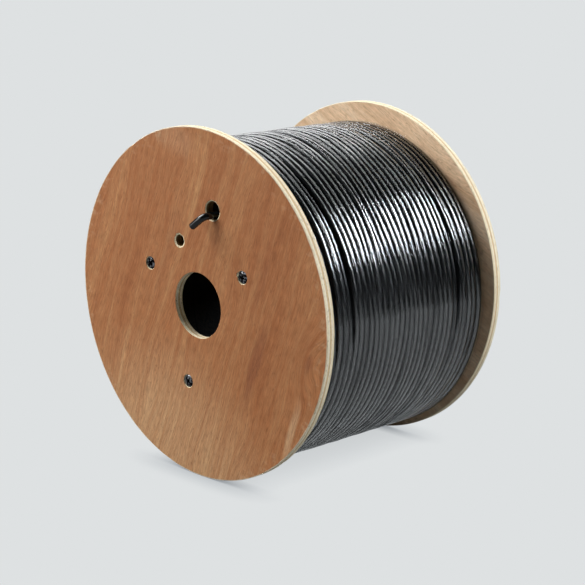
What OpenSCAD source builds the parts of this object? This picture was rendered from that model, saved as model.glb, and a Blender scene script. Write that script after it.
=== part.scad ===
// Small plywood cable drum, wound and film-wrapped, lying on the rims of its two flanges.
// X runs across the drum, Y along its axis with the cable's start at -Y, and Z is up.
// The origin is on the floor, under the middle of the drum. All sizes are in millimetres.

/* [Flanges] */
// Diameter of both flanges
flange_d = 300; // [260:1:400]
// Thickness of the flange plywood
flange_t = 8; // [6:0.5:15]
// Winding width, between the flanges' inner faces
traverse = 198; // [120:1:300]
// Diameter of the spindle bore in both flanges
bore_d = 56; // [30:1:70]

/* [Drive pin hole] */
// Diameter of the hole for a drive pin, in the front flange only
pin_hole_d = 10; // [6:0.5:14]
// Distance of the drive pin hole from the drum's axis
pin_hole_radius = 56.5; // [52:0.5:60]
// Direction of the drive pin hole, from +X towards +Z
pin_hole_angle = 113; // [90:1:130]

/* [Core tube] */
// Outer diameter of the cardboard core tube
tube_od = 154; // [150:1:200]
// Wall of the core tube
tube_wall = 3.5; // [2:0.5:6]

/* [Tie bolts] */
// Diameter of the tie bolts
bolt_d = 6; // [4:0.5:8]
// Diameter of the bolts' countersunk heads
bolt_head_d = 11.6; // [9:0.1:14]
// Straight edge of a bolt head, above its cone
bolt_head_land = 0.4; // [0.2:0.1:1]
// Directions of the bolts, from +X towards +Z
bolt_angles = [31.5, 156, 259]; // [0:0.5:360]
// Gap between each bolt and the core tube's inner wall
bolt_tube_gaps = [7, 5, 0.6]; // [0.5:0.1:9]
// Radial clearance of a bolt in the flanges
bolt_gap = 0.3; // [0.1:0.05:0.5]
// Width of a wing of the cross recess
recess_wing = 1.4; // [0.8:0.1:2]
// Length across the cross recess
recess_d = 6.6; // [4:0.1:8]
// Depth of the cross recess
recess_depth = 2.4; // [1:0.1:3]
// Turn of each bolt's cross recess
recess_turns = [12, 40, 30]; // [0:1:90]

/* [Tee nuts] */
// Diameter of a tee nut's flange, set flush into the rear flange
tee_flange_d = 19; // [15:0.5:24]
// Thickness of a tee nut's flange
tee_flange_t = 1.2; // [0.8:0.1:2]
// Wall of a tee nut's barrel
tee_wall = 0.9; // [0.6:0.1:2]
// Length of a tee nut, with its flange
tee_length = 7; // [4:0.5:12]

/* [Cable] */
// Outer diameter of the cable
cable_d = 6.2; // [4:0.1:8]
// Free height left on the flanges outside the film, on average
free_height = 10.3; // [9:0.1:40]
// How far the loosely wound cable has sunk below the drum's axis
winding_sag = 4.4; // [0:0.1:8]
// Thickness of the wrapped stretch film
film_t = 0.3; // [0.2:0.1:1]
// Gap between the film's edges and the flanges
film_edge_gap = 0.5; // [0.2:0.1:3]

/* [Cable start hole] */
// Diameter of the hole that the cable's start comes out of
start_hole_d = 16; // [12:0.5:20]
// Distance from the core tube to the edge of the start hole
start_hole_gap = 0.5; // [0.3:0.1:5]
// Direction of the start hole, from +X towards +Z
start_hole_angle = 77; // [60:1:90]
// Clearance of the cable in the start hole
start_gap = 0.6; // [0.3:0.1:1]
// Clearance around the cable in the pocket where it leaves the winding
pocket_gap = 0.3; // [0.2:0.1:0.5]

/* [Hidden] */
$fn = 96;

// Where the flanges and the axis are
axis_z = flange_d / 2;
inner_y = traverse / 2;
outer_y = inner_y + flange_t;
width = 2 * outer_y;
// How far a cut runs past the face that it opens
cut = 1;

// What the tube, the winding and the film leave each other
tube_r = tube_od / 2;
tube_inner_r = tube_r - tube_wall;
film_r = axis_z - free_height;
winding_r = film_r - film_t;
winding_z = axis_z - winding_sag;

// Bolts and tee nuts
bolt_r = bolt_d / 2;
bolt_radii = [for (gap = bolt_tube_gaps) tube_inner_r - gap - bolt_r];
bolt_hole_r = bolt_r + bolt_gap;
bolt_head_r = bolt_head_d / 2;
cone_h = bolt_head_r - bolt_r;
tee_barrel_r = bolt_r + tee_wall;
tee_end_y = outer_y - tee_length;

// The cable rests on the bottom of its start hole
cable_r = cable_d / 2;
start_hole_r = start_hole_d / 2;
start_hole_radius = tube_r + start_hole_gap + start_hole_r;
start_x = start_hole_radius * cos(start_hole_angle);
start_z = axis_z + start_hole_radius * sin(start_hole_angle) - (start_hole_r - cable_r - start_gap);

// Route of the cable's free start, from the winding out to its cut end.
// It is measured from the cable's place in the start hole, at the front face.
tail_route = [
    [0, 15, 0], [0, 12, 0], [0, 9, 0], [0, 6, 0], [0, 3, 0], [0, 0.5, 0.1],
    [-0.1, -1.8, 0.3], [-0.5, -3.9, 0.4], [-1.3, -5.8, 0.2], [-2.6, -7.3, -0.5],
    [-4.2, -8.4, -1.7], [-6, -9.1, -3.2], [-7.9, -9.6, -4.8], [-9.8, -10, -6.4],
    [-11.7, -10.4, -8], [-13.4, -10.8, -9.4]
];
// A direction square to the whole route, which keeps its rings from turning
tail_side = [0.61, 0, -0.79];
tail_sides = 12;
pocket_depth = tail_route[0][1] - flange_t;

function unit(v) = v / norm(v);
function tangent(path, i) =
    unit(path[min(i + 1, len(path) - 1)] - path[max(i - 1, 0)]);
function ring(path, i, r, sides) =
    let (t = tangent(path, i), u = unit(cross(t, tail_side)), v = cross(u, t))
    [for (k = [0 : sides - 1]) path[i] + r * (cos(360 * k / sides) * u + sin(360 * k / sides) * v)];

// A round bar along Y from y0 to y1, on the axis x, z
module bar(r, y0, y1, x = 0, z = axis_z) {
    translate([x, y1, z]) rotate([90, 0, 0]) cylinder(r = r, h = y1 - y0);
}

// A cone along Y, with radius r0 at y0 and r1 at y1, on the axis x, z
module cone(r0, r1, y0, y1, x, z) {
    translate([x, y1, z]) rotate([90, 0, 0]) cylinder(r1 = r1, r2 = r0, h = y1 - y0);
}

// Places its children, drawn around the Y axis, at bolt i
module at_bolt(i) {
    translate([
        bolt_radii[i] * cos(bolt_angles[i]),
        0,
        axis_z + bolt_radii[i] * sin(bolt_angles[i])
    ]) children();
}

// A tube swept along a path of points
module swept_tube(path, r, sides) {
    rings = len(path);
    points = [for (i = [0 : rings - 1]) each ring(path, i, r, sides)];
    walls = [
        for (i = [0 : rings - 2]) for (k = [0 : sides - 1])
            let (n = (k + 1) % sides, a = i * sides, b = a + sides)
            [a + k, a + n, b + n, b + k]
    ];
    first_end = [for (k = [sides - 1 : -1 : 0]) k];
    last_end = [for (k = [0 : sides - 1]) (rings - 1) * sides + k];
    polyhedron(points, concat([first_end], walls, [last_end]));
}

// Plywood disc with the cable's start hole, the drive pin hole and the countersunk bolt holes
module front_flange() {
    color("#a8764a") difference() {
        bar(axis_z, -outer_y, -inner_y);
        bar(bore_d / 2, -outer_y - cut, -inner_y + cut);
        bar(pin_hole_d / 2, -outer_y - cut, -inner_y + cut,
            pin_hole_radius * cos(pin_hole_angle),
            axis_z + pin_hole_radius * sin(pin_hole_angle));
        bar(start_hole_r, -outer_y - cut, -inner_y + cut,
            start_hole_radius * cos(start_hole_angle),
            axis_z + start_hole_radius * sin(start_hole_angle));
        for (i = [0 : 2]) at_bolt(i) {
            bar(bolt_hole_r, -outer_y - cut, -inner_y + cut, z = 0);
            bar(bolt_head_r, -outer_y - cut, -outer_y + bolt_head_land, z = 0);
            cone(bolt_head_r, bolt_r, -outer_y + bolt_head_land,
                -outer_y + bolt_head_land + cone_h, 0, 0);
        }
    }
}

// Plywood disc with the seats of the tee nuts
module rear_flange() {
    color("#b98a5c") difference() {
        bar(axis_z, inner_y, outer_y);
        bar(bore_d / 2, inner_y - cut, outer_y + cut);
        for (i = [0 : 2]) at_bolt(i) {
            bar(bolt_hole_r, inner_y - cut, outer_y + cut, z = 0);
            bar(tee_barrel_r, tee_end_y, outer_y + cut, z = 0);
            bar(tee_flange_d / 2, outer_y - tee_flange_t, outer_y + cut, z = 0);
        }
    }
}

// Cardboard tube that the cable is wound on
module core_tube() {
    color("#b39a78") difference() {
        bar(tube_r, -inner_y, inner_y);
        bar(tube_inner_r, -inner_y - cut, inner_y + cut);
    }
}

// Countersunk bolt through the whole drum, with a cross recess in its head
module tie_bolt(i) {
    color("#1b1b1d") at_bolt(i) difference() {
        union() {
            bar(bolt_r, -outer_y + bolt_head_land + cone_h, outer_y, z = 0);
            cone(bolt_head_r, bolt_r, -outer_y + bolt_head_land,
                -outer_y + bolt_head_land + cone_h, 0, 0);
            bar(bolt_head_r, -outer_y, -outer_y + bolt_head_land, z = 0);
        }
        translate([0, -outer_y - cut, 0]) rotate([0, recess_turns[i], 0])
            for (turn = [0, 90]) rotate([0, turn, 0])
                translate([-recess_d / 2, 0, -recess_wing / 2])
                    cube([recess_d, recess_depth + cut, recess_wing]);
    }
}

// Tee nut pressed flush into the rear flange
module tee_nut(i) {
    color("#b9bcc0") at_bolt(i) difference() {
        union() {
            bar(tee_barrel_r, tee_end_y, outer_y, z = 0);
            bar(tee_flange_d / 2, outer_y - tee_flange_t, outer_y, z = 0);
        }
        bar(bolt_r, tee_end_y - cut, outer_y + cut, z = 0);
    }
}

// The wound cable as one solid, with the pocket where the cable's start leaves it
module cable_winding() {
    color("#18191b") difference() {
        bar(winding_r, -inner_y, inner_y, z = winding_z);
        bar(tube_r, -inner_y - cut, inner_y + cut);
        bar(cable_r + pocket_gap, -inner_y - cut, -inner_y + pocket_depth, start_x, start_z);
    }
}

// Clear stretch film, a thin closed shell on the winding
module stretch_film() {
    color("#c8ccd0", 0.3) difference() {
        bar(film_r, -inner_y + film_edge_gap, inner_y - film_edge_gap, z = winding_z);
        bar(winding_r, -inner_y, inner_y, z = winding_z);
    }
}

// The cable's free start, out through the start hole and bent down along the face
module cable_tail() {
    color("#101113") translate([start_x, -outer_y, start_z])
        swept_tube(tail_route, cable_r, tail_sides);
}

front_flange();
rear_flange();
core_tube();
tie_bolt(0);  // tie_bolt_1
tie_bolt(1);  // tie_bolt_2
tie_bolt(2);  // tie_bolt_3
tee_nut(0);  // tee_nut_1
tee_nut(1);  // tee_nut_2
tee_nut(2);  // tee_nut_3
cable_winding();
stretch_film();
cable_tail();
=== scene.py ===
import math

import bmesh
import bpy
from mathutils import Matrix, Vector, noise


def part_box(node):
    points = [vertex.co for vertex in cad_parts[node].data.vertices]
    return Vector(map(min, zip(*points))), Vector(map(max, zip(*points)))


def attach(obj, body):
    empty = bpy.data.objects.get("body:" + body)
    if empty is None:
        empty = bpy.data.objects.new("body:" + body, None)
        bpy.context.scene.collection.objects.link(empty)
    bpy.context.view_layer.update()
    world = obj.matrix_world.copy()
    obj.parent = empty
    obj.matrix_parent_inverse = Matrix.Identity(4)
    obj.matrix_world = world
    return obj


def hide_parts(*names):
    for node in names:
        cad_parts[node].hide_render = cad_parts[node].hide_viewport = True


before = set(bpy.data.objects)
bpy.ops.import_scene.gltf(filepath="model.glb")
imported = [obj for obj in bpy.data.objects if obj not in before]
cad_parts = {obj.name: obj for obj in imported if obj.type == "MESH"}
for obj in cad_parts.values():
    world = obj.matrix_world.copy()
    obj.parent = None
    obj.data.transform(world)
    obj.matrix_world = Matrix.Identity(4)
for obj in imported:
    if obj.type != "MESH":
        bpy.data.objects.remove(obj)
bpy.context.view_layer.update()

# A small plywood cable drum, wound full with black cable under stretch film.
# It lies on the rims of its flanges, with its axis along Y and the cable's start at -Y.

# ---------------------------------------------------------------- sizes, in metres

MM = 0.001
rim_low, rim_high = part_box("front_flange")
rear_low, rear_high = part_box("rear_flange")
tube_low, tube_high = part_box("core_tube")
film_low, film_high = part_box("stretch_film")

AXIS_Z = (rim_low.z + rim_high.z) / 2
RIM_R = AXIS_Z
FRONT_Y = rim_low.y
REAR_Y = rear_high.y
INNER_Y = rear_low.y
TUBE_R = (tube_high.z - tube_low.z) / 2
FILM_R = (film_high.z - film_low.z) / 2
SAG = AXIS_Z - (film_low.z + film_high.z) / 2
SAG_LEAN = 1.9 * MM  # how much more the winding has sunk at its rear end than in its middle
CROWN_R = FILM_R - 0.75 * MM  # to the crowns of the outer turns

BORE_R = 28 * MM
CABLE_R = 3.1 * MM
START_HOLE_R = 8 * MM
START_HOLE_AT = (85.5 * MM, math.radians(77))
PIN_HOLE_R = 5 * MM
PIN_HOLE_AT = (56.5 * MM, math.radians(113))
TEAR_AT_START, TEAR_AT_PIN = 1.1 * MM, 1.6 * MM


def around(radius, angle, y):
    """The point at that radius and direction round the drum's axis."""
    return Vector((radius * math.cos(angle), y, AXIS_Z + radius * math.sin(angle)))


def middle(node):
    """The middle of a CAD node's box."""
    low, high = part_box(node)
    return (low + high) / 2


# ---------------------------------------------------------------- camera

CAMERA_TURN = math.radians(45.1)
CAMERA_RISE = math.radians(13.9)
CAMERA_DISTANCE = 10.32 * RIM_R
LENS = 108.8
LENS_SHIFT = (0.0066, -0.0149)


def add_camera():
    """A long lens at the drum's front right, a little above it."""
    data = bpy.data.cameras.new("camera")
    data.sensor_width = 36
    data.lens = LENS
    data.shift_x, data.shift_y = LENS_SHIFT
    camera = bpy.data.objects.new("camera", data)
    bpy.context.scene.collection.objects.link(camera)
    back = Vector((
        math.sin(CAMERA_TURN) * math.cos(CAMERA_RISE),
        -math.cos(CAMERA_TURN) * math.cos(CAMERA_RISE),
        math.sin(CAMERA_RISE),
    ))
    camera.location = Vector((0, 0, AXIS_Z)) + back * CAMERA_DISTANCE
    camera.rotation_euler = (-back).to_track_quat("-Z", "Y").to_euler()
    bpy.context.scene.camera = camera


# ---------------------------------------------------------------- nodes and colours


def tone(code):
    """An sRGB hex colour as linear red, green, blue and alpha."""
    parts = [int(code[i:i + 2], 16) / 255 for i in (1, 3, 5)]
    return [c / 12.92 if c <= 0.04045 else ((c + 0.055) / 1.055) ** 2.4 for c in parts] + [1]


def add(tree, kind, links=None, stops=(), **settings):
    """Add a node. Links are its inputs, as values, sockets or nodes, and stops are a ramp's colours."""
    made = tree.nodes.new("ShaderNode" + kind)
    for name, value in settings.items():
        setattr(made, name, value)
    for socket, value in (links or {}).items():
        if isinstance(value, bpy.types.Node):
            value = next(out for out in value.outputs if out.enabled)
        if isinstance(value, bpy.types.NodeSocket):
            tree.links.new(value, made.inputs[socket])
        else:
            made.inputs[socket].default_value = value
    for i, (position, code) in enumerate(stops):
        ramp = made.color_ramp.elements
        stop = ramp[i] if i < len(ramp) else ramp.new(position)
        stop.position = position
        stop.color = tone(code)
    return made


def new_material(name, **values):
    """A material with its values set on the shader's own sockets."""
    made = bpy.data.materials.new(name)
    made.use_nodes = True
    shader = made.node_tree.nodes["Principled BSDF"]
    for socket, value in values.items():
        shader.inputs[socket.replace("_", " ")].default_value = value
    return made, made.node_tree, shader


def finish_material(tree, shader, colour=None, roughness=None, height=None, strength=0.5):
    """Link what varies over the surface. The height is in mm."""
    if colour:
        tree.links.new(colour.outputs[2 if colour.type == "MIX" else 0], shader.inputs["Base Color"])
    if roughness:
        tree.links.new(roughness.outputs[0], shader.inputs["Roughness"])
    if height:
        bump = add(tree, "Bump", {"Height": height, "Strength": strength, "Distance": MM})
        tree.links.new(bump.outputs[0], shader.inputs["Normal"])


def millimetres(tree):
    """Object coordinates in mm, measured from the drum's axis."""
    place = add(tree, "TexCoord").outputs["Object"]
    centred = add(tree, "Mapping", {"Vector": place, "Location": (0, 0, -AXIS_Z)})
    return add(tree, "Mapping", {"Vector": centred, "Scale": (1 / MM, 1 / MM, 1 / MM)})


def speckle(tree, place, layers):
    """Noise layers by name, from their (size in mm along X, Y and Z, detail, distortion)."""
    made = {}
    for name, (size, detail, warp) in layers.items():
        spread = add(tree, "Mapping", {"Vector": place, "Scale": [1 / s for s in size]})
        made[name] = add(tree, "TexNoise", {
            "Vector": spread, "Scale": 1, "Detail": detail, "Roughness": 0.6, "Distortion": warp})
    return made


# ---------------------------------------------------------------- materials


def blot(tree, place, centre, size):
    """A soft oval mask: its centre and half size are across and along the grain, in mm."""
    near = add(tree, "Mapping", {
        "Vector": place,
        "Location": (-centre[0] / size[0], 0, -centre[1] / size[1]),
        "Scale": (1 / size[0], 0, 1 / size[1]),
    })
    off = add(tree, "VectorMath", {0: near}, operation="LENGTH").outputs["Value"]
    return add(tree, "MapRange", {
        "Value": off, "From Min": 0.25, "From Max": 1, "To Min": 1, "To Max": 0,
    }, interpolation_type="SMOOTHSTEP")


def plywood(name, grain_turn, knot, marks, stops):
    """Rotary-cut plywood: a red-brown face veneer with short pores, over pale plies at the cut edges.

    The face is matt and streaked along its grain, and the edges are cream with darker glue lines.
    The grain turns from +Z towards +X. The knot and the marks are placed across and along it, in mm
    from the axis, and each mark has its half size, its colour and its strength. A mark can be painted
    light, and the plies deep in the small holes carry painted shade.
    """
    made, tree, shader = new_material(name, Specular_IOR_Level=0.3)
    plain = millimetres(tree)
    turned = add(tree, "Mapping", {"Vector": plain, "Rotation": (0, -grain_turn, 0)})
    lumps = speckle(tree, plain, {
        "mottle": ((12, 12, 12), 4, 0.0),
        "scuff": ((8, 8, 5), 5, 0.0),
        "rim_wave": ((22, 22, 22), 3, 0.0),
        "rim_streak": ((8, 0.4, 8), 4, 0.0),
        "voids": ((2.2, 0.7, 2.2), 2, 0.0),
        "dust": ((0.9, 0.9, 0.9), 2, 0.0),
    })

    # The grain lines wander, and bow round the knot
    wander = speckle(tree, turned, {"wander": ((60, 60, 190), 2, 0.0)})["wander"]
    swing = add(tree, "MapRange", {"Value": wander, "To Min": -16, "To Max": 16})
    split = add(tree, "SeparateXYZ", {0: turned})
    at_knot = add(tree, "Mapping", {
        "Vector": turned, "Location": (-knot[0], 0, -knot[1] / 2), "Scale": (1, 0, 0.5)})
    reach = add(tree, "VectorMath", {0: at_knot}, operation="LENGTH").outputs["Value"]
    bow = add(tree, "MapRange", {
        "Value": reach, "From Min": 0, "From Max": 26, "To Min": 13, "To Max": 0,
    }, interpolation_type="SMOOTHERSTEP")
    pushed = add(tree, "Math", {0: swing, 1: bow}, operation="ADD")
    across = add(tree, "Math", {0: split.outputs[0], 1: pushed}, operation="ADD")
    grain = add(tree, "CombineXYZ", {0: across, 1: split.outputs[1], 2: split.outputs[2]})
    layers = speckle(tree, grain, {
        "broad": ((15, 15, 380), 3, 0.0),
        "streak": ((4, 4, 130), 3, 0.0),
        "fibre": ((0.9, 0.9, 11), 2, 0.0),
        "pores": ((0.8, 0.8, 4.5), 1, 0.0),
    })

    # The veneer's tone, from its broadest streaks down to its pores
    mixed = add(tree, "Math", {0: layers["streak"], 1: 0.3, 2: 0.0}, operation="MULTIPLY_ADD")
    mixed = add(tree, "Math", {0: layers["broad"], 1: 0.5, 2: mixed}, operation="MULTIPLY_ADD")
    mixed = add(tree, "Math", {0: lumps["mottle"], 1: 0.2, 2: mixed}, operation="MULTIPLY_ADD")
    face = add(tree, "ValToRGB", {0: mixed}, stops=stops)
    for centre, size, code, strength in marks:
        frayed = add(tree, "Math", {0: layers["streak"], 1: 2 * strength}, operation="MULTIPLY")
        frayed = add(tree, "Math", {0: blot(tree, grain, centre, size), 1: frayed}, operation="MULTIPLY")
        face = add(tree, "Mix", {0: frayed, 6: face, 7: tone(code)}, data_type="RGBA")
    shade = add(tree, "MapRange", {
        "Value": layers["fibre"], "From Min": 0.3, "From Max": 0.7, "To Min": 0.77, "To Max": 1.17})
    face = add(tree, "Mix", {0: 1.0, 6: face, 7: shade}, data_type="RGBA", blend_type="MULTIPLY")
    pore = add(tree, "MapRange", {
        "Value": layers["pores"], "From Min": 0.6, "From Max": 0.72, "To Max": 0.4})
    face = add(tree, "Mix", {0: pore, 6: face, 7: tone("#6e3f24")}, data_type="RGBA")
    heart = add(tree, "MapRange", {
        "Value": reach, "From Min": 1.5, "From Max": 5, "To Min": 0.5, "To Max": 0})
    face = add(tree, "Mix", {0: heart, 6: face, 7: tone("#7a3f24")}, data_type="RGBA")

    # Paler where the rim has been handled, and worn through to the ply on its arris
    flat = add(tree, "Mapping", {"Vector": plain, "Scale": (1, 0, 1)})
    radius = add(tree, "VectorMath", {0: flat}, operation="LENGTH").outputs["Value"]
    near_rim = add(tree, "MapRange", {
        "Value": radius, "From Min": RIM_R / MM - 16, "From Max": RIM_R / MM, "To Max": 0.35})
    scuff = add(tree, "MapRange", {
        "Value": lumps["scuff"], "From Min": 0.52, "From Max": 0.7}, interpolation_type="SMOOTHSTEP")
    scuff = add(tree, "Math", {0: scuff, 1: near_rim}, operation="MULTIPLY")
    face = add(tree, "Mix", {0: scuff, 6: face, 7: tone("#d2b08a")}, data_type="RGBA")
    worn = add(tree, "Math", {0: lumps["mottle"], 1: 1.3, 2: radius}, operation="MULTIPLY_ADD")
    worn = add(tree, "MapRange", {
        "Value": worn, "From Min": RIM_R / MM - 0.35, "From Max": RIM_R / MM + 0.25, "To Max": 0.85})
    face = add(tree, "Mix", {0: worn, 6: face, 7: tone("#eadfc6")}, data_type="RGBA")

    # The plies, seen at the rim and in every hole
    side = add(tree, "Math", {0: add(tree, "SeparateXYZ", {0: plain}).outputs[1]}, operation="ABSOLUTE")
    depth = add(tree, "MapRange", {
        "Value": side, "From Min": REAR_Y / MM, "From Max": INNER_Y / MM, "To Min": 0, "To Max": 1})
    level = add(tree, "Math", {0: lumps["rim_wave"], 1: 0.12, 2: depth}, operation="MULTIPLY_ADD")
    level = add(tree, "Math", {0: level, 1: 0.06}, operation="SUBTRACT")
    plies = add(tree, "ValToRGB", {0: level}, stops=[
        (0.0, "#ecdcb4"), (0.35, "#fbf3dc"), (0.385, "#c4a270"), (0.41, "#dfc699"),
        (0.58, "#dcc191"), (0.6, "#b99462"), (0.63, "#fbf0d6"), (1.0, "#ead9b0")])
    streaked = add(tree, "MapRange", {
        "Value": lumps["rim_streak"], "From Min": 0.25, "From Max": 0.75, "To Min": 0.72, "To Max": 1.12})
    plies = add(tree, "Mix", {0: 1.0, 6: plies, 7: streaked}, data_type="RGBA", blend_type="MULTIPLY")
    void = add(tree, "MapRange", {
        "Value": lumps["voids"], "From Min": 0.6, "From Max": 0.68, "To Max": 0.75})
    plies = add(tree, "Mix", {0: void, 6: plies, 7: tone("#6b4d2e")}, data_type="RGBA")
    # Painted shade: the plies are darker deep inside the small holes, which lie between the bore and the
    # rim
    drilled = add(tree, "Math", {0: radius, 1: 79, 2: 46}, operation="COMPARE")
    deep = add(tree, "MapRange", {"Value": depth, "From Min": 0.08, "From Max": 0.16})
    drilled = add(tree, "Math", {0: drilled, 1: deep}, operation="MULTIPLY")
    plies = add(tree, "Mix", {0: drilled, 6: plies, 7: tone("#8a775a")},
                data_type="RGBA", blend_type="MULTIPLY")
    # The face veneer is all that lies within about 0.15 mm of the flange's two faces
    inside = add(tree, "Math", {0: depth, 1: 0.5, 2: 0.482}, operation="COMPARE")
    colour = add(tree, "Mix", {0: inside, 6: face, 7: plies}, data_type="RGBA")

    rough = add(tree, "MapRange", {"Value": layers["fibre"], "To Min": 0.78, "To Max": 0.5})
    rough = add(tree, "Math", {0: inside, 1: 0.2, 2: rough}, operation="MULTIPLY_ADD")
    relief = add(tree, "Math", {0: layers["fibre"], 1: pore}, operation="SUBTRACT")
    torn = add(tree, "Math", {0: lumps["rim_streak"], 1: void}, operation="SUBTRACT")
    height = add(tree, "Mix", {0: inside, 2: relief, 3: torn}, data_type="FLOAT")
    height = add(tree, "Math", {0: height, 1: 0.16}, operation="MULTIPLY")
    finish_material(tree, shader, colour, rough, height, 0.7)
    return made


def cable_jacket(name, shine):
    """Extruded black PVC jacket: nearly black and smooth, with a wet shine and faint drag lines.

    The shine is its IOR. It is higher on the winding, where the film's under layers cling to it.
    """
    made, tree, shader = new_material(name, Base_Color=tone("#0c0d0e"), IOR=shine)
    layers = speckle(tree, millimetres(tree), {
        "dull": ((22, 3, 22), 3, 0.0),
        "skin": ((9, 0.9, 9), 2, 0.0),
    })
    rough = add(tree, "MapRange", {
        "Value": layers["dull"], "From Min": 0.3, "From Max": 0.7, "To Min": 0.1, "To Max": 0.24})
    height = add(tree, "Math", {0: layers["skin"], 1: 0.06}, operation="MULTIPLY")
    finish_material(tree, shader, None, rough, height)
    return made


def clear_film():
    """Polyethylene stretch film, pulled tight: clear and glossy, with fine creases along the pull.

    It clings to the cable, so each of its two faces shines far less than a free sheet's would. Its
    tint turns grey where it dips into the grooves, as painted shade that keeps them dark.
    """
    made, tree, shader = new_material(
        "polyethylene_stretch_film", IOR=1.18, Transmission_Weight=1.0)
    plain = millimetres(tree)
    layers = speckle(tree, plain, {
        "haze": ((40, 12, 40), 3, 0.0),
        "crease": ((40, 1.3, 40), 3, 0.3),
        "crumple": ((9, 3.5, 9), 2, 0.6),
        "loose": ((30, 14, 30), 1, 0.0),
    })
    rough = add(tree, "MapRange", {
        "Value": layers["haze"], "From Min": 0.45, "From Max": 0.75, "To Min": 0.02, "To Max": 0.1})
    patch = add(tree, "MapRange", {
        "Value": layers["loose"], "From Min": 0.62, "From Max": 0.74}, interpolation_type="SMOOTHSTEP")
    height = add(tree, "Math", {0: layers["crumple"], 1: patch}, operation="MULTIPLY")
    height = add(tree, "Math", {0: layers["crease"], 1: 0.08, 2: height}, operation="MULTIPLY_ADD")

    # How far a point lies below the crowns, measured from where the winding has sunk to
    x, y, z = add(tree, "SeparateXYZ", {0: plain}).outputs
    sunk = add(tree, "Math", {0: y, 1: SAG_LEAN / INNER_Y, 2: SAG / MM}, operation="MULTIPLY_ADD")
    settled = add(tree, "Math", {0: z, 1: sunk}, operation="ADD")
    across = add(tree, "CombineXYZ", {0: x, 2: settled})
    wound = add(tree, "VectorMath", {0: across}, operation="LENGTH").outputs["Value"]
    crown = CROWN_R / MM
    # Painted shade: the film's tint is grey where it lies deep in the grooves
    deep = add(tree, "MapRange", {"Value": wound, "From Min": crown + 0.05, "From Max": crown - 1})
    colour = add(tree, "Mix", {
        0: deep, 6: tone("#f4f6f7"), 7: tone("#85888b")}, data_type="RGBA")
    finish_material(tree, shader, colour, rough, height, 0.4)
    return made


def black_zinc_steel():
    """Black zinc on bolt steel: dark and glossy, with rubbed, brighter spots."""
    made, tree, shader = new_material("black_zinc_steel", Metallic=1.0)
    grime = speckle(tree, millimetres(tree), {"grime": ((2.2, 2.2, 2.2), 2, 0.0)})["grime"]
    colour = add(tree, "ValToRGB", {0: grime}, stops=[(0.46, "#131416"), (0.62, "#97989b")])
    rough = add(tree, "MapRange", {
        "Value": grime, "From Min": 0.3, "From Max": 0.7, "To Min": 0.1, "To Max": 0.24})
    finish_material(tree, shader, colour, rough, grime, 0.06)
    return made


def zinc_steel():
    """Zinc-plated pressed steel: pale grey, with a soft mottled shine."""
    made, tree, shader = new_material("zinc_plated_steel", Metallic=1.0)
    spangle = speckle(tree, millimetres(tree), {"spangle": ((2.2, 2.2, 2.2), 3, 0.0)})["spangle"]
    colour = add(tree, "ValToRGB", {0: spangle}, stops=[(0.3, "#9a9ea3"), (0.7, "#cfd2d4")])
    rough = add(tree, "MapRange", {"Value": spangle, "To Min": 0.22, "To Max": 0.5})
    finish_material(tree, shader, colour, rough, spangle, 0.1)
    return made


def core_board():
    """Spiral-wound recycled board: matt, with fibres and the seam of its winding. Its dark grey-brown is
    partly painted shade, for the dim inside of the bore.
    """
    made, tree, shader = new_material("spiral_wound_board", Roughness=0.92, Specular_IOR_Level=0.2)
    plain = millimetres(tree)
    fibre = speckle(tree, plain, {"fibre": ((2.5, 2.5, 2.5), 4, 0.0)})["fibre"]
    colour = add(tree, "ValToRGB", {0: fibre}, stops=[(0.3, "#2c2620"), (0.7, "#453b30")])
    x, y, z = add(tree, "SeparateXYZ", {0: plain}).outputs
    angle = add(tree, "Math", {0: z, 1: x}, operation="ARCTAN2")
    turn = add(tree, "Math", {0: angle, 1: math.tau}, operation="DIVIDE")
    wound = add(tree, "Math", {0: y, 1: 1 / 90, 2: turn}, operation="MULTIPLY_ADD")
    off = add(tree, "Math", {0: wound, 1: 0.5}, operation="PINGPONG")
    seam = add(tree, "MapRange", {
        "Value": off, "From Min": 0.004, "From Max": 0.012, "To Min": 0.6, "To Max": 0})
    colour = add(tree, "Mix", {0: seam, 6: colour, 7: tone("#1c1712")}, data_type="RGBA")
    finish_material(tree, shader, colour, None, fibre, 0.3)
    return made


def foam_dielectric():
    """Foamed polyethylene round the conductor: off-white and waxy."""
    made, tree, shader = new_material("foamed_polyethylene", Roughness=0.5)
    cells = speckle(tree, millimetres(tree), {"cells": ((0.5, 0.5, 0.5), 2, 0.0)})["cells"]
    colour = add(tree, "ValToRGB", {0: cells}, stops=[(0.3, "#c9c9c2"), (0.7, "#ecece8")])
    finish_material(tree, shader, colour, None, cells, 0.1)
    return made


def bare_copper():
    """Cut copper wire: bright orange-brown with shear marks."""
    made, tree, shader = new_material("bare_copper", Base_Color=tone("#c47a4e"), Metallic=1.0)
    marks = speckle(tree, millimetres(tree), {"marks": ((0.2, 2, 0.8), 2, 0.0)})["marks"]
    rough = add(tree, "MapRange", {"Value": marks, "To Min": 0.2, "To Max": 0.5})
    finish_material(tree, shader, None, rough)
    return made


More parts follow.
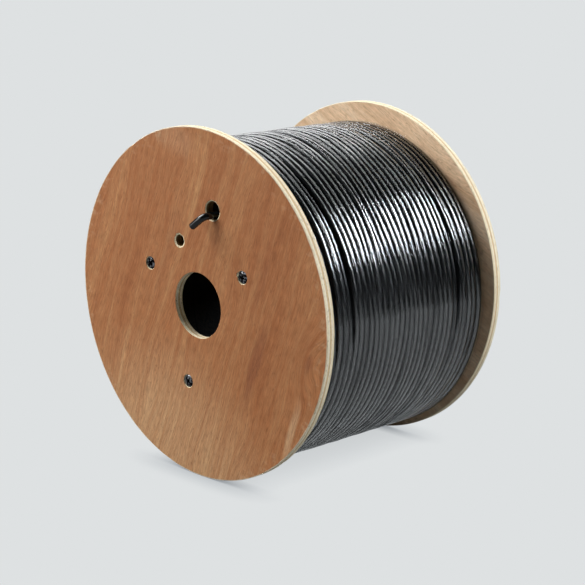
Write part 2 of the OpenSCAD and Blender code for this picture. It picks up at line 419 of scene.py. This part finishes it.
def studio_paper():
    """Matt paper. Camera and transmission rays see it glow in one even pale tone to its far edge, with a
    painted soft shadow where the drum stands; other rays see plain grey paper.

    The painted shadow is made fainter below the winding, as if light came in between the flanges.
    """
    made, tree, shader = new_material(
        "pale_studio_paper", Base_Color=tone("#888b8d"), Roughness=0.95, Specular_IOR_Level=0.0)
    # Painted shadow: ambient occlusion darkens the paper's glow close to the drum
    clear = add(tree, "AmbientOcclusion", {"Distance": SHADOW_REACH}, samples=16).outputs["AO"]
    painted_shadow = add(tree, "ValToRGB", {0: clear}, stops=[(0.0, "#84898e"), (0.5, "#c3c7ca"), (0.95, "#dee1e2")])
    side = add(tree, "Math", {
        0: add(tree, "SeparateXYZ", {0: add(tree, "TexCoord").outputs["Object"]}).outputs[1],
    }, operation="ABSOLUTE")
    filled = add(tree, "MapRange", {
        "Value": side, "From Min": INNER_Y - 10 * MM, "From Max": INNER_Y + 4 * MM,
        "To Min": 0.7, "To Max": 0})
    painted_shadow = add(tree, "Mix", {0: filled, 6: painted_shadow, 7: tone("#dee1e2")}, data_type="RGBA")
    even = add(tree, "Emission", {"Color": painted_shadow.outputs[2]})
    ray = add(tree, "LightPath").outputs
    seen = add(tree, "Math", {
        0: ray["Is Camera Ray"], 1: ray["Is Transmission Ray"]}, operation="MAXIMUM")
    both = add(tree, "MixShader", {0: seen, 1: shader, 2: even})
    tree.links.new(both.outputs[0], tree.nodes["Material Output"].inputs[0])
    return made


# ---------------------------------------------------------------- making pieces


def add_piece(bm, name, material, nodes=(), sharp=35):
    """Make a bmesh a piece that rides on the drum, and hide the CAD nodes that it stands for."""
    bmesh.ops.recalc_face_normals(bm, faces=bm.faces)
    mesh = bpy.data.meshes.new(name)
    bm.to_mesh(mesh)
    bm.free()
    mesh.materials.append(material)
    mesh.shade_smooth()
    mesh.set_sharp_from_angle(angle=math.radians(sharp))
    made = bpy.data.objects.new(name, mesh)
    bpy.context.scene.collection.objects.link(made)
    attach(made, "root")
    if nodes:
        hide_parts(*nodes)
    return made


def turn_outline(bm, outline, steps, centre=(0.0, 0.0)):
    """Spin a closed outline of (radius, y) points about a line along Y, centre off the drum's axis."""
    middle_at = Vector((centre[0], 0, AXIS_Z + centre[1]))
    points = [bm.verts.new(middle_at + Vector((radius, y, 0))) for radius, y in outline]
    edges = [bm.edges.new((points[i - 1], points[i])) for i in range(len(points))]
    bmesh.ops.spin(bm, geom=points + edges, cent=middle_at, axis=(0, 1, 0), dvec=(0, 0, 0),
                   angle=math.tau, steps=steps, use_merge=True)
    bmesh.ops.remove_doubles(bm, verts=bm.verts, dist=1e-7)


def cut_away(piece, cutters):
    """Take the cutters, each a closed bmesh, out of a piece."""
    tools = []
    for bm in cutters:
        bmesh.ops.recalc_face_normals(bm, faces=bm.faces)
        mesh = bpy.data.meshes.new("cutter")
        bm.to_mesh(mesh)
        bm.free()
        tool = bpy.data.objects.new("cutter", mesh)
        bpy.context.scene.collection.objects.link(tool)
        modifier = piece.modifiers.new("cut", "BOOLEAN")
        modifier.operation = "DIFFERENCE"
        modifier.solver = "EXACT"
        modifier.object = tool
        tools.append(tool)
    bpy.context.view_layer.update()
    shape = piece.evaluated_get(bpy.context.evaluated_depsgraph_get())
    mesh = bpy.data.meshes.new_from_object(shape)
    piece.modifiers.clear()
    piece.data = mesh
    mesh.set_sharp_from_angle(angle=math.radians(35))
    for face in mesh.polygons:
        face.use_smooth = abs(face.normal.y) < 0.9999
    for tool in tools:
        bpy.data.objects.remove(tool)


def centre_of(place):
    """The x and z offsets from the axis of a (radius, angle) place."""
    return place[0] * math.cos(place[1]), place[0] * math.sin(place[1])


# ---------------------------------------------------------------- flanges

RIM_STEPS = 480
RIM_RINGS = 7
ARRIS = 0.5 * MM


def disc(outer_y, inner_y):
    """A flange blank with its bore, its arrises eased and its edges worn."""
    rim = [(RIM_R, outer_y + (inner_y - outer_y) * k / RIM_RINGS) for k in range(RIM_RINGS + 1)]
    outline = [
        (BORE_R + 3 * MM, inner_y), (BORE_R, inner_y), (BORE_R, outer_y), (BORE_R + 3 * MM, outer_y),
        (RIM_R - 3 * MM, outer_y), *rim, (RIM_R - 3 * MM, inner_y),
    ]
    bm = bmesh.new()
    turn_outline(bm, outline, RIM_STEPS)
    corners = [e for e in bm.edges if is_arris(e)]
    bmesh.ops.bevel(bm, geom=corners, offset=ARRIS, segments=2, profile=0.5, affect="EDGES",
                    material=-1)
    for v in bm.verts:
        wear_edge(v)
    return bm


def is_arris(edge):
    """Whether an edge runs round the rim or the bore, on one of the flange's faces."""
    for v in edge.verts:
        on_face = min(abs(abs(v.co.y) - REAR_Y), abs(abs(v.co.y) - INNER_Y)) < 1e-6
        on_edge = min(abs(radius_of(v.co) - RIM_R), abs(radius_of(v.co) - BORE_R)) < 1e-6
        if not (on_face and on_edge):
            return False
    return abs(edge.verts[0].co.y - edge.verts[1].co.y) < 1e-6


def radius_of(point):
    """Distance from the drum's axis."""
    return math.hypot(point.x, point.z - AXIS_Z)


def wear_edge(v):
    """Push a rim or bore point a little into the wood, and nick the arrises."""
    radius = radius_of(v.co)
    if BORE_R + 1 * MM < radius < RIM_R - 1 * MM:
        return
    out = Vector((v.co.x, 0, v.co.z - AXIS_Z)).normalized()
    into = -out if radius > 2 * BORE_R else out
    x, y, z = v.co
    saw = noise.noise(Vector((x * 160, y * 900, z * 160)))
    nick = max(0.0, noise.noise(Vector((x * 70 + 9, y * 300, z * 70))) - 0.38)
    at_arris = min(abs(abs(y) - REAR_Y), abs(abs(y) - INNER_Y)) < ARRIS
    v.co += into * (0.07 + 0.07 * saw + (1.5 if at_arris else 0.6) * nick) * MM


def torn_hole(place, radius, outer_y, inner_y, tear):
    """A cutter for a drilled hole, with the veneer torn out to about tear round its mouth."""
    inward = 1 if inner_y > outer_y else -1
    past = inward * MM
    outline = [
        (0, outer_y - past), (radius + tear, outer_y - past), (radius + tear, outer_y),
        (radius + 0.35 * tear, outer_y + inward * 0.5 * MM), (radius, outer_y + inward * 0.9 * MM),
        (radius, inner_y), (radius, inner_y + past), (0, inner_y + past),
    ]
    bm = bmesh.new()
    centre = centre_of(place)
    turn_outline(bm, outline, 64, centre)
    axis = Vector((centre[0], 0, AXIS_Z + centre[1]))
    for v in bm.verts:
        out = Vector((v.co.x, 0, v.co.z)) - axis
        if out.length < radius + 0.2 * tear:
            continue
        ragged = noise.noise(Vector((v.co.x * 420, 3.1, v.co.z * 420)))
        v.co += out.normalized() * tear * 0.55 * ragged
    return bm


def bolt_seat(at, outer_y, inner_y):
    """A cutter for a countersunk bolt hole in the front flange."""
    inward = 1 if inner_y > outer_y else -1
    outline = [
        (0, outer_y - inward * MM), (5.9 * MM, outer_y - inward * MM), (5.9 * MM, outer_y),
        (5.8 * MM, outer_y + inward * 0.4 * MM), (3.3 * MM, outer_y + inward * 2.95 * MM),
        (3.3 * MM, inner_y + inward * MM), (0, inner_y + inward * MM),
    ]
    bm = bmesh.new()
    turn_outline(bm, outline, 48, (at.x, at.z - AXIS_Z))
    return bm


def tee_seat(at, outer_y, inner_y):
    """A cutter for a tee nut's seat in the rear flange."""
    outline = [
        (0, outer_y + MM), (9.6 * MM, outer_y + MM), (9.6 * MM, outer_y - 1.2 * MM),
        (3.95 * MM, outer_y - 1.2 * MM), (3.95 * MM, outer_y - 7 * MM),
        (3.3 * MM, outer_y - 7 * MM), (3.3 * MM, inner_y - MM), (0, inner_y - MM),
    ]
    bm = bmesh.new()
    turn_outline(bm, outline, 48, (at.x, at.z - AXIS_Z))
    return bm


def chip(at, size, seed):
    """A cutter for a torn chip: a ragged, flattened ball."""
    bm = bmesh.new()
    bmesh.ops.create_icosphere(bm, subdivisions=3, radius=1)
    for v in bm.verts:
        v.co *= 1 + 0.35 * noise.noise(v.co * 1.7 + Vector((seed, 0, 0)))
    bmesh.ops.transform(bm, matrix=Matrix.Translation(at) @ Matrix.Diagonal((*size, 1)),
                        verts=bm.verts)
    return bm


# Streaks and pale patches, and one patch of painted light: places across and along the grain, half sizes,
# colours and strengths
FRONT_MARKS_AND_LIGHT = [
    ((77, -12), (9, 56), "#7f4024", 0.5),
    ((60, 62), (6, 50), "#8a4c2c", 0.3),
    ((-52, 30), (7, 70), "#8f5230", 0.25),
    ((134, -45), (6, 40), "#e0bb90", 0.5),
    # Painted light: this broad pale patch makes the face paler towards the bottom, standing in for light
    # bounced up from the floor
    ((10, -150), (150, 130), "#d9b083", 0.5),
    ((-76, 122), (36, 20), "#dcbc96", 0.16),
]
REAR_MARKS = [
    ((30, -40), (9, 70), "#a9774c", 0.6),
    ((-60, 50), (14, 60), "#b5855a", 0.5),
]


def add_flanges():
    """Both flanges, each cut for its own holes, seats and torn places."""
    bolts = [middle(f"tie_bolt_{i}") for i in (1, 2, 3)]
    front_wood = plywood("red_brown_faced_plywood", math.radians(20), (130, 22), FRONT_MARKS_AND_LIGHT, [
        (0.30, "#96592f"), (0.43, "#a86a3e"), (0.54, "#b1774a"), (0.70, "#c3905f")])
    rear_wood = plywood("tan_faced_plywood", math.radians(-61), (-40, 60), REAR_MARKS, [
        (0.30, "#c49c76"), (0.50, "#e0bf9b"), (0.70, "#f0dabc")])
    front = add_piece(disc(FRONT_Y, -INNER_Y), "front_flange_board", front_wood,
                      ["front_flange"])
    right = max(bolts, key=lambda at: at.x)
    torn_spot = right + Vector((-5.4, 0, 1.2)) * MM
    torn_spot.y = FRONT_Y
    cut_away(front, [
        torn_hole(PIN_HOLE_AT, PIN_HOLE_R, FRONT_Y, -INNER_Y, TEAR_AT_PIN),
        torn_hole(START_HOLE_AT, START_HOLE_R, FRONT_Y, -INNER_Y, TEAR_AT_START),
        chip(torn_spot, (1.3 * MM, 0.7 * MM, 2.0 * MM), 4),
        *[bolt_seat(at, FRONT_Y, -INNER_Y) for at in bolts],
    ])
    rear = add_piece(disc(REAR_Y, INNER_Y), "rear_flange_board", rear_wood,
                     ["rear_flange"])
    cut_away(rear, [tee_seat(at, REAR_Y, INNER_Y) for at in bolts])


# ---------------------------------------------------------------- bolts and tee nuts

BOLT_TURNS = (12, 40, 30)


def cross_recess(at, turn):
    """A cutter for a cross recess: two wings that narrow with depth, over a blunt cone."""
    cutters = []
    for quarter in (0, 90):
        bm = bmesh.new()
        bmesh.ops.create_cube(bm, size=1)
        for v in bm.verts:
            deep = v.co.y > 0
            v.co.x *= (4.0 if deep else 7.2) * MM
            v.co.z *= (0.9 if deep else 1.5) * MM
            v.co.y = (2.5 if deep else -0.3) * MM
        bmesh.ops.rotate(bm, cent=(0, 0, 0), matrix=Matrix.Rotation(
            math.radians(turn + quarter), 3, "Y"), verts=bm.verts)
        bmesh.ops.translate(bm, vec=(at.x, FRONT_Y, at.z), verts=bm.verts)
        cutters.append(bm)
    bm = bmesh.new()
    turn_outline(bm, [(0, FRONT_Y - 0.3 * MM), (1.7 * MM, FRONT_Y - 0.3 * MM),
                      (0.9 * MM, FRONT_Y + 2.6 * MM), (0, FRONT_Y + 3 * MM)],
                 24, (at.x, at.z - AXIS_Z))
    return [*cutters, bm]


def add_bolts():
    """The tie bolts, with domed heads and cross recesses, and the tee nuts that they end in."""
    steel = black_zinc_steel()
    zinc = zinc_steel()
    for i, turn in enumerate(BOLT_TURNS, 1):
        at = middle(f"tie_bolt_{i}")
        outline = [
            (0, 0.02), (1.6, 0.06), (3.2, 0.2), (4.5, 0.45), (5.3, 0.75), (5.6, 1.0), (5.45, 1.25),
            (3.0, 3.4), (3.0, 213.2), (2.4, 213.9), (0, 213.9),
        ]
        bm = bmesh.new()
        turn_outline(bm, [(r * MM, FRONT_Y + y * MM) for r, y in outline], 48,
                     (at.x, at.z - AXIS_Z))
        bolt = add_piece(bm, f"tie_bolt_{i}_steel", steel, [f"tie_bolt_{i}"], 30)
        cut_away(bolt, cross_recess(at, turn))
        outline = [
            (3.05, 7.0), (3.05, 0.35), (3.4, 0.05), (9.0, 0.05), (9.35, 0.2), (9.45, 0.6),
            (9.3, 1.1), (4.4, 1.15), (3.85, 1.6), (3.85, 7.0),
        ]
        bm = bmesh.new()
        turn_outline(bm, [(r * MM, REAR_Y - y * MM) for r, y in outline], 48,
                     (at.x, at.z - AXIS_Z))
        add_piece(bm, f"tee_nut_{i}_steel", zinc, [f"tee_nut_{i}"])


# ---------------------------------------------------------------- the cable's free start

# The route, in mm from the cable's place in the start hole at the front face
TAIL_ROUTE = [
    (0, 15, 0), (0, 12, 0), (0, 9, 0), (0, 6, 0), (0, 3, 0), (0, 0.5, 0.1),
    (-0.1, -1.8, 0.3), (-0.5, -3.9, 0.4), (-1.3, -5.8, 0.2), (-2.6, -7.3, -0.5),
    (-4.2, -8.4, -1.7), (-6, -9.1, -3.2), (-7.9, -9.6, -4.8), (-9.8, -10, -6.4),
    (-11.7, -10.4, -8), (-13.4, -10.8, -9.4),
]
START_GAP = 0.6 * MM


def tail_place():
    """Where the cable rests on the bottom of its start hole, at the front face."""
    at = around(*START_HOLE_AT, FRONT_Y)
    at.z -= START_HOLE_R - CABLE_R - START_GAP
    return at


def smooth_path(points, parts):
    """Points along a curve through the given ones."""
    ends = [2 * points[0] - points[1], *points, 2 * points[-1] - points[-2]]
    path = []
    for a, b, c, d in zip(ends, ends[1:], ends[2:], ends[3:]):
        for k in range(parts):
            t = k / parts
            path.append(0.5 * (2 * b + (c - a) * t + (2 * a - 5 * b + 4 * c - d) * t ** 2
                               + (3 * b - a - 3 * c + d) * t ** 3))
    return [*path, points[-1]]


def sweep(bm, path, radii, sides):
    """A closed tube along a path, with a radius at each point."""
    side = Vector((0.61, 0, -0.79))
    loop = bmesh.ops.create_circle(bm, cap_ends=False, radius=1, segments=sides)["verts"]
    edges = list({e for v in loop for e in v.link_edges})
    square = [v.co.copy() for v in loop]
    first_edges = edges
    for i, (at, radius) in enumerate(zip(path, radii)):
        ahead = (path[min(i + 1, len(path) - 1)] - path[max(i - 1, 0)]).normalized()
        across = ahead.cross(side).normalized()
        up = across.cross(ahead)
        if i:
            made = bmesh.ops.extrude_edge_only(bm, edges=edges)["geom"]
            edges = [g for g in made if isinstance(g, bmesh.types.BMEdge)]
            loop = [g for g in made if isinstance(g, bmesh.types.BMVert)]
        for v, flat in zip(loop, square):
            v.co = at + radius * (flat.x * across + flat.y * up)
    bmesh.ops.holes_fill(bm, edges=[*first_edges, *edges], sides=0)


def add_tail():
    """The cable's start: out of the drum, bent down along the face and cut off."""
    place = tail_place()
    route = [place + Vector(p) * MM for p in TAIL_ROUTE]
    path = smooth_path(route, 4)
    radii = [CABLE_R] * len(path)
    radii[-1] = CABLE_R - 0.45 * MM
    radii[-2] = CABLE_R - 0.12 * MM
    bm = bmesh.new()
    sweep(bm, path, radii, 24)
    jacket = cable_jacket("black_pvc_jacket", 1.5)
    tail = add_piece(bm, "cable_start", jacket, ["cable_tail"], 50)
    ahead = (path[-1] - path[-3]).normalized()
    for name, material, radius, out in (
        ("cable_start_foam", foam_dielectric(), 2.2 * MM, 0.08 * MM),
        ("cable_start_conductor", bare_copper(), 0.5 * MM, 0.18 * MM),
    ):
        bm = bmesh.new()
        ends = [path[-1] - ahead * 0.5 * MM, path[-1] + ahead * out * 0.6, path[-1] + ahead * out]
        sweep(bm, ends, [radius, radius, radius * 0.9], 24)
        add_piece(bm, name, material)


# ---------------------------------------------------------------- the winding

TURNS = 31
TURN_STEPS = 120
STRAND_SIDES = 14
STRAND_R = 3.05 * MM
LAYER_R = CROWN_R - STRAND_R
FIRST_Y = -INNER_Y + CABLE_R
FIRST_ANGLE = math.radians(-115)
PITCH = (2 * INNER_Y - 2 * CABLE_R) / TURNS

# Over the top, the turns lean towards the rear
TOP_LEAN = 10 * MM
TOP_LEAN_AT = math.radians(95)
TOP_LEAN_SPREAD = math.radians(38)

# Places where a turn has sunk between its neighbours: y, first angle, last angle, depth
SUNKEN = [
    (-84 * MM, -12, 62, 2.0 * MM),
    (-66 * MM, -6, 70, 2.6 * MM),
    (66 * MM, -10, 46, 3.0 * MM),
    (-20 * MM, 50, 118, 0.9 * MM),
    (38 * MM, -62, -20, 1.3 * MM),
    (54 * MM, 150, 230, 1.6 * MM),
]


def wave(angle, y, size_y, turns, seed):
    """Smooth noise on the winding, from about -1 to 1."""
    return 2 * noise.noise(Vector((
        turns * math.cos(angle) + seed, y / size_y, turns * math.sin(angle) - seed)))


def slide(angle, y):
    """How far the turns have crept along the drum there."""
    near_end = min(1.0, abs(y) / (INNER_Y - CABLE_R))
    crept = 1.6 * wave(angle, y, 46 * MM, 0.9, 3) + 0.8 * wave(angle, y, 17 * MM, 2.2, 8)
    off_top = (angle - TOP_LEAN_AT + math.pi) % math.tau - math.pi
    leant = TOP_LEAN * math.exp(-(off_top / TOP_LEAN_SPREAD) ** 2)
    return (1 - near_end ** 4) * crept * MM + (1 - near_end ** 2) * leant


def lift(angle, y):
    """How far the turns stand proud or low there."""
    return (0.36 * wave(angle, y, 6.5 * MM, 1.3, 5) + 0.12 * wave(angle, y, 60 * MM, 1.5, 1)
            + 0.14 * wave(angle, y, 6.2 * MM, 4.5, 20)) * MM


def sink(angle, y):
    """How deep a sunken turn lies there."""
    total = 0.0
    for at, first, last, depth in SUNKEN:
        half = math.radians(last - first) / 2
        off = (angle - math.radians(first) - half + math.pi) % math.tau - math.pi
        along = max(0.0, 1 - (off / half) ** 2)
        total += depth * along ** 0.6 * math.exp(-((y - at) / (2.1 * MM)) ** 2)
    return total


def settle(v, share):
    """Move a point of the winding, drawn round the drum's axis, to where the turns have settled."""
    angle = math.atan2(v.co.z - AXIS_Z, v.co.x)
    y = v.co.y
    wound = radius_of(v.co)
    outer = (wound - TUBE_R) / (FILM_R - TUBE_R)
    v.co = around(wound + outer * (lift(angle, y) - share * sink(angle, y)), angle,
                  y + outer * slide(angle, y))
    v.co.z -= outer * (SAG + SAG_LEAN * y / INNER_Y)


def wind_layer(bm):
    """The outer layer of the cable: one turn of a helix, repeated along the drum and joined."""
    heart = Matrix.Translation((0, FIRST_Y, AXIS_Z))
    at = heart @ Matrix.Rotation(-FIRST_ANGLE, 4, "Y") @ Matrix.Translation((LAYER_R, 0, 0))
    ring = bmesh.ops.create_circle(bm, cap_ends=False, radius=STRAND_R, segments=STRAND_SIDES,
                                   matrix=at)["verts"]
    edges = list({e for v in ring for e in v.link_edges})
    bmesh.ops.spin(bm, geom=ring + edges, cent=(0, 0, AXIS_Z), axis=(0, 1, 0),
                   dvec=(0, PITCH / TURN_STEPS, 0), angle=math.tau, steps=TURN_STEPS,
                   use_merge=False)
    turn = bm.verts[:] + bm.edges[:] + bm.faces[:]
    for k in range(1, TURNS):
        copy = bmesh.ops.duplicate(bm, geom=turn)["geom"]
        points = [g for g in copy if isinstance(g, bmesh.types.BMVert)]
        bmesh.ops.translate(bm, verts=points, vec=(0, PITCH * k, 0))
    bmesh.ops.remove_doubles(bm, verts=bm.verts, dist=1e-6)
    bmesh.ops.holes_fill(bm, edges=[e for e in bm.edges if e.is_boundary], sides=0)


RIB_POINTS = 8


def inner_layers(bm):
    """Everything under the outer turns, as one ribbed ring."""
    root = LAYER_R - 5.3 * MM
    half = INNER_Y / TURNS
    ribs = []
    for i in range(TURNS):
        for k in range(RIB_POINTS):
            bow = math.pi * k / RIB_POINTS
            y = -INNER_Y + (2 * i + 1 - math.cos(bow)) * half
            ribs.append((root + STRAND_R * math.sin(bow), y))
    outline = [(TUBE_R, INNER_Y), (TUBE_R, -INNER_Y), *ribs, (root, INNER_Y)]
    turn_outline(bm, outline, TURN_STEPS)


def add_winding():
    """The wound cable: its outer turns, and the layers below them."""
    jacket = cable_jacket("black_pvc_jacket_under_film", 1.95)
    bm = bmesh.new()
    wind_layer(bm)
    for v in bm.verts:
        settle(v, 1.0)
    add_piece(bm, "cable_outer_turns", jacket, ["cable_winding"], 180)
    bm = bmesh.new()
    inner_layers(bm)
    for v in bm.verts:
        settle(v, 0)
    add_piece(bm, "cable_inner_layers", jacket, ["cable_winding"], 180)


FILM_ROWS = 372
FILM_STEPS = 120
FILM_WALL = 0.06 * MM
FILM_GAP = 0.14 * MM
FILM_CROWDING = 0.6


def film_point(angle, y):
    """The film lies flat over the crown of each turn, and dips sharply into the grooves.

    Its rows are crowded towards the grooves, but not at the ends.
    """
    phase = (y - FIRST_Y) / PITCH - (angle - FIRST_ANGLE) / math.tau
    off = phase - round(phase)
    crowd = FILM_CROWDING * math.sin(math.tau * off) / math.tau
    crowd *= min(1.0, (INNER_Y - abs(y)) / PITCH)
    off += crowd
    slack = 0.5 + 0.5 * wave(angle, y, 30 * MM, 2.2, 12)
    deepest = (1.4 + 1.1 * min(1.0, max(0.0, slack + 0.25))) * MM
    drop = deepest * abs(2 * off) ** 5
    return around(CROWN_R + FILM_GAP - drop, angle, y + crowd * PITCH)


def add_film():
    """The stretch film, as one thin sheet round the winding."""
    bm = bmesh.new()
    half = INNER_Y - 0.5 * MM
    ends = [bm.verts.new((CROWN_R, y, AXIS_Z)) for y in (-half, half)]
    bmesh.ops.subdivide_edges(bm, edges=[bm.edges.new(ends)], cuts=FILM_ROWS - 1)
    bmesh.ops.spin(bm, geom=bm.verts[:] + bm.edges[:], cent=(0, 0, AXIS_Z), axis=(0, 1, 0),
                   dvec=(0, 0, 0), angle=math.tau, steps=FILM_STEPS, use_merge=True)
    for v in bm.verts:
        angle = math.atan2(v.co.z - AXIS_Z, v.co.x)
        v.co = film_point(angle, v.co.y)
        settle(v, 0.55)
    film = add_piece(bm, "stretch_film_wrap", clear_film(), ["stretch_film"], 180)
    wall = film.modifiers.new("wall", "SOLIDIFY")
    wall.thickness = FILM_WALL
    wall.offset = -1
    film.visible_shadow = False


# ---------------------------------------------------------------- studio

FLOOR_R = 14.0
SURROUND = 0.04
SHADOW_REACH = 27 * MM
FLAG_AT = (0.49, 0.605, 0.155)
FLAG_TURN = math.radians(-39)
FLAG_HALF_SIZE = (2.4, 0.33)


def add_card(name, at, size, target, strength):
    """A soft rectangular light, facing target."""
    data = bpy.data.lights.new(name, "AREA")
    data.shape = "RECTANGLE"
    data.size, data.size_y = size
    data.energy = strength * size[0] * size[1]
    light = bpy.data.objects.new(name, data)
    light.location = at
    light.rotation_euler = (Vector(target) - Vector(at)).to_track_quat("-Z", "Y").to_euler()
    bpy.context.scene.collection.objects.link(light)
    return light


def add_floor():
    """A round sheet of paper that reaches past the edge of the view."""
    bm = bmesh.new()
    bmesh.ops.create_circle(bm, cap_ends=True, radius=FLOOR_R, segments=96)
    mesh = bpy.data.meshes.new("floor")
    bm.to_mesh(mesh)
    bm.free()
    mesh.materials.append(studio_paper())
    floor = bpy.data.objects.new("floor", mesh)
    bpy.context.scene.collection.objects.link(floor)


def add_world():
    """A dim, even surround."""
    world = bpy.data.worlds.new("studio")
    world.use_nodes = True
    bpy.context.scene.world = world
    surround = world.node_tree.nodes["Background"].inputs
    surround["Color"].default_value = tone("#dfe4e8")
    surround["Strength"].default_value = SURROUND


def add_black_flag():
    """A black card behind the right side, seen only in the gloss of the film and the cable."""
    bm = bmesh.new()
    bmesh.ops.create_grid(bm, x_segments=1, y_segments=1, size=1)
    bmesh.ops.transform(bm, verts=bm.verts, matrix=(
        Matrix.Translation(FLAG_AT) @ Matrix.Rotation(FLAG_TURN, 4, "Z")
        @ Matrix.Rotation(math.radians(90), 4, "X") @ Matrix.Diagonal((*FLAG_HALF_SIZE, 1, 1))))
    mesh = bpy.data.meshes.new("black_flag")
    bm.to_mesh(mesh)
    bm.free()
    made, _, _ = new_material("black_flag_felt", Base_Color=tone("#050505"), Roughness=1.0,
                              Specular_IOR_Level=0.0)
    mesh.materials.append(made)
    flag = bpy.data.objects.new("black_flag", mesh)
    bpy.context.scene.collection.objects.link(flag)
    flag.visible_camera = False
    flag.visible_diffuse = False
    flag.visible_shadow = False


def add_lights():
    """Soft lights all round. The strong one at the rear right shows only as a shine on the film."""
    heart = (0, 0, AXIS_Z)
    shine = add_card("rear_right_strip", (0.90, 1.10, 0.80), (1.8, 0.44), heart, 95)
    shine.visible_diffuse = False
    shine.data.color = tone("#eef5ff")[:3]
    fill = add_card("rear_right_softbox", (1.15, 1.0, 1.2), (1.3, 0.8), heart, 34)
    fill.visible_glossy = False
    add_card("left_overhead_softbox", (-1.3, -0.75, 1.6), (1.3, 1.2), heart, 37)
    add_card("front_left_softbox", (-1.2, -1.7, 0.8), (1.3, 1.0), heart, 11)
    add_card("rear_overhead_card", (-0.05, 1.45, 1.6), (1.9, 0.8), heart, 4)
    add_card("rear_left_card", (-1.3, 1.5, 0.95), (1.5, 1.2), heart, 5)


bpy.context.scene.view_settings.view_transform = "Standard"
add_camera()
add_tail()
add_flanges()
add_bolts()
add_winding()
add_film()
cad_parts["core_tube"].material_slots[0].material = core_board()
add_floor()
add_world()
add_black_flag()
add_lights()
